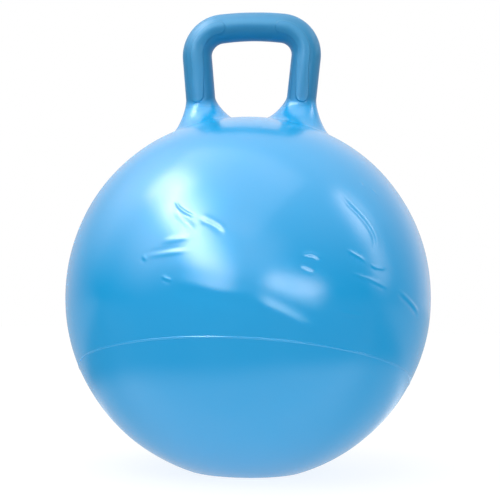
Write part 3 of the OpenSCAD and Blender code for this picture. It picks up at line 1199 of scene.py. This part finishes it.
@dataclass(frozen=True)
class Window:
    """A bright strip with soft edges in the surroundings, which shows in the moulding's gloss.

    The ends are in degrees round from the front and up from the level. The edge starts and ends
    at two distances from the strip's line, on a sphere of radius one.
    """

    ends: tuple[Pair, Pair]
    edge: Pair
    brightness: float

    def strength(self, tree: Tree, direction: Socket) -> Socket:
        """Adds the nodes of the window.

        Args:
            tree: The world's node tree.
            direction: The direction that is looked in.

        Returns:
            The window's brightness in that direction.
        """
        start, end = (on_ball(*angles) for angles in self.ends)
        span = end - start
        offset = vector(tree, "SUBTRACT", {0: direction, 1: start})
        share = vector(tree, "DOT_PRODUCT", {0: offset, 1: span / (span @ span)}, "Value")
        share = add(tree, "Clamp", "Result", {"Value": share})
        nearest = vector(tree, "SCALE", {0: span, "Scale": share})
        nearest = vector(tree, "NORMALIZE", {0: vector(tree, "ADD", {0: nearest, 1: start})})
        away = vector(tree, "DISTANCE", {0: nearest, 1: direction}, "Value")
        return ramp(tree, away, (*self.edge, self.brightness, 0.0))


@dataclass
class Studio:
    """Floor, surroundings, lamp and camera.

    Limits say where a soft change starts and ends, and what it goes from and to. The gloss shows
    a back light and a top light that change with depth and height, the windows, and a painted
    pool of light on the floor, seen in the gloss alone, that dims at its edge and has a painted
    shadow under the ball, with more light behind.
    """

    focus: Array
    radius: float
    distance_share: float = 6.5
    azimuth: float = 7.0
    roll: float = 0.8
    ball_px: Pair = (248.1, 297.8)
    ball_radius_px: float = 183.0
    frame_px: float = 500.0
    sensor: float = 36.0
    room_light: float = 0.72
    room_colour: Colour = (0.96, 0.98, 1.0)
    back_deep: Limits = (-0.05, 0.8, 0.0, 0.78)
    back_high: Limits = (0.45, 0.8, 1.0, 0.9)
    top_high: Limits = (0.0, 1.1, 0.0, 2.5)
    top_deep: Limits = (0.1, 0.7, 1.0, 0.45)
    window_colour: Colour = (1.0, 0.9, 0.86)
    windows: tuple[Window, ...] = (
        Window(((-89.0, 54.0), (-12.0, 14.0)), (0.04, 0.23), 9.5),
        Window(((-74.0, 59.0), (-60.0, 48.0)), (0.0, 0.13), 11.0),
        Window(((-46.0, 47.0), (-22.0, 25.0)), (0.02, 0.24), 10.8),
        Window(((-91.0, 44.0), (-58.0, 42.0)), (0.05, 0.72), 2.4),
        Window(((-58.0, 23.0), (12.0, 22.0)), (0.0, 0.5), 2.5),
        Window(((97.0, 45.0), (97.0, 35.0)), (0.02, 0.18), 5.5),
        Window(((97.0, 35.0), (97.0, 12.0)), (0.0, 0.22), 3.6),
        Window(((23.0, 8.5), (46.0, 3.5)), (0.01, 0.16), 13.5),
        Window(((152.0, 8.0), (152.0, -8.0)), (0.1, 0.4), 0.35),
    )
    floor_half: float = 6.0
    floor_roughness: float = 0.8
    floor_light: float = 0.71
    floor_white: float = 0.84
    floor_shade: float = 0.25
    # The floor's glow in the gloss alone is painted light: a pool of light that dims at its edge,
    # more light behind, and a painted shadow of the ball under and behind it.
    floor_middle: Triple = (0.05, 0.08, 0.0)
    floor_edge: Limits = (0.36, 0.5, 1.9, 0.35)
    floor_behind: Limits = (0.05, 0.3, 0.0, 0.55)
    floor_gloss_shadow: Limits = (-0.20, -0.06, 1.0, 0.4)
    lamp_ends: tuple[Triple, Triple] = ((-0.40, -0.69, 0.60), (0.03, 0.05, 1.0))
    lamp_distance: float = 1.6
    lamp_w: float = 1.6
    lamp_light: float = 1.5

    def build(self) -> None:
        """Sets up everything round the object."""
        self.camera()
        self.surroundings()
        self.floor()
        self.lamp()

    def camera(self) -> None:
        """Places the camera level with the ball's middle, a little to its right."""
        focal_px = self.ball_radius_px * math.sqrt(self.distance_share ** 2 - 1)
        data = bpy.data.cameras.new("camera")
        data.sensor_width = self.sensor
        data.lens = focal_px / self.frame_px * self.sensor
        data.shift_x = (self.frame_px / 2 - self.ball_px[0]) / self.frame_px
        data.shift_y = (self.ball_px[1] - self.frame_px / 2) / self.frame_px
        camera = linked("camera", data)
        turn = math.radians(self.azimuth)
        back = Vector((math.sin(turn), -math.cos(turn), 0.0))
        camera.location = Vector(self.focus) + back * (self.distance_share * self.radius)
        camera.rotation_mode = "QUATERNION"
        level = (-back).to_track_quat("-Z", "Y")
        roll = Quaternion((0.0, 0.0, 1.0), math.radians(self.roll))
        camera.rotation_quaternion = level @ roll
        bpy.context.scene.camera = camera

    def surroundings(self) -> None:
        """Lights an even room, white to the camera and darker in front of the ball in its gloss."""
        world = bpy.data.worlds.new("studio")
        bpy.context.scene.world = world
        world.use_nodes = True
        tree = world.node_tree
        direction = add(tree, "TexCoord", "Generated")
        deep, high = (add(tree, "SeparateXYZ", axis, {"Vector": direction}) for axis in "YZ")
        back = combined(tree, "MULTIPLY", ramp(tree, deep, self.back_deep),
                        ramp(tree, high, self.back_high))
        top = combined(tree, "MULTIPLY", ramp(tree, deep, self.top_deep),
                       ramp(tree, high, self.top_high))
        total = combined(tree, "ADD", back, top)
        for window in self.windows:
            total = combined(tree, "ADD", total, window.strength(tree, direction))
        room = tree.nodes["Background"]
        fill(tree, room, {"Color": (*self.room_colour, 1.0), "Strength": self.room_light})
        gloss = add(tree, "Background", "Background",
                    {"Color": (*self.window_colour, 1.0), "Strength": total})
        white = add(tree, "Background", "Background", {"Color": (1.0, 1.0, 1.0, 1.0)})
        look = by_ray(tree, Ray.GLOSSY, room.outputs["Background"], gloss)
        fill(tree, tree.nodes["World Output"], {"Surface": by_ray(tree, Ray.CAMERA, look, white)})

    def floor(self) -> None:
        """Lays a pale floor that keeps the ball's shadow, with its own light in the gloss."""
        bm = bmesh.new()
        bmesh.ops.create_grid(bm, x_segments=1, y_segments=1, size=self.floor_half)
        material = bpy.data.materials.new("pale_floor")
        material.use_nodes = True
        tree = material.node_tree
        plain = tree.nodes["Principled BSDF"]
        fill(tree, plain, {"Base Color": (*[self.floor_shade] * 3, 1.0),
                           "Roughness": self.floor_roughness, "Specular IOR Level": 0.0})
        place = add(tree, "TexCoord", "Object")
        away = vector(tree, "DISTANCE", {0: place, 1: self.floor_middle}, "Value")
        deep = add(tree, "SeparateXYZ", "Y", {"Vector": place})
        # Painted pool of light, dimmed by a painted shadow of the ball under and behind it, seen in
        # the gloss alone.
        patch = combined(tree, "MULTIPLY", ramp(tree, away, self.floor_edge),
                         ramp(tree, deep, self.floor_gloss_shadow))
        total = combined(tree, "ADD", patch, ramp(tree, deep, self.floor_behind))
        bounce, seen, mirrored = (add(tree, "Emission", "Emission", {"Strength": strength})
                                  for strength in (self.floor_light, self.floor_white, total))
        lit = add(tree, "AddShader", "Shader", {
            0: plain.outputs["BSDF"], 1: by_ray(tree, Ray.CAMERA, bounce, seen)})
        look = by_ray(tree, Ray.GLOSSY, lit, mirrored)
        fill(tree, tree.nodes["Material Output"], {"Surface": look})
        finished("floor", bm, material)

    def lamp(self) -> None:
        """Hangs one broad lamp over the front of the ball, facing it.

        Its ends are directions from the ball, as the camera sees them, and its light is the
        brightness of its surface, where a white wall in the room has 1.
        """
        turn = Matrix.Rotation(math.radians(self.azimuth), 3, "Z")
        start, end = (turn @ Vector(d).normalized() * self.lamp_distance for d in self.lamp_ends)
        data = bpy.data.lights.new("over", "AREA")
        data.shape = "RECTANGLE"
        data.size, data.size_y = self.lamp_w, (end - start).length
        data.energy = self.lamp_light * math.pi * data.size * data.size_y
        lamp = linked("over", data)
        middle = (start + end) / 2
        lamp.location = Vector(self.focus) + middle
        back, along = middle.normalized(), (end - start).normalized()
        turned = Matrix((along.cross(back), along, back)).transposed()
        lamp.rotation_mode = "QUATERNION"
        lamp.rotation_quaternion = turned.to_quaternion()


def main() -> None:
    """Builds the hopper ball and the studio round it."""
    logging.basicConfig(level=logging.INFO, format="%(message)s")
    bpy.context.scene.view_settings.view_transform = "Standard"
    form = MouldingForm()
    ball = Finish("ball_vinyl", (0.006, 0.35, 0.73), (0.009, 0.37, 0.75), 0.22)
    # The handle's vinyl is a darker copy of the ball's: its deeper blue above the foot is partly
    # the thicker wall's own colour and partly painted shade.
    handle = replace(ball, name="handle_vinyl", specular=0.44,
                     fade_colour=(0.009, 0.197, 0.395), fade_roughness=0.23,
                     fade_range=(form.pole_z + 8 * MM, form.pole_z + 26 * MM))
    bush = Finish("valve_vinyl", (0.06, 0.36, 0.68), (0.08, 0.38, 0.70), 0.4)
    stopper = Finish("plug_plastic", (0.80, 0.80, 0.77), (0.84, 0.84, 0.82), 0.38)
    loop = LoopHandle(form, handle)
    for part in (BallSkin(form, ball, loop.foot_angles()), loop,
                 ValvePiece("valve_insert", bush), ValvePiece("valve_plug", stopper)):
        piece = part.build()
        LOG.info("%s: %d faces", piece.name, len(piece.data.polygons))
    Studio(form.middle, form.radius).build()
    bpy.context.view_layer.update()


if __name__ == "__main__":
    main()
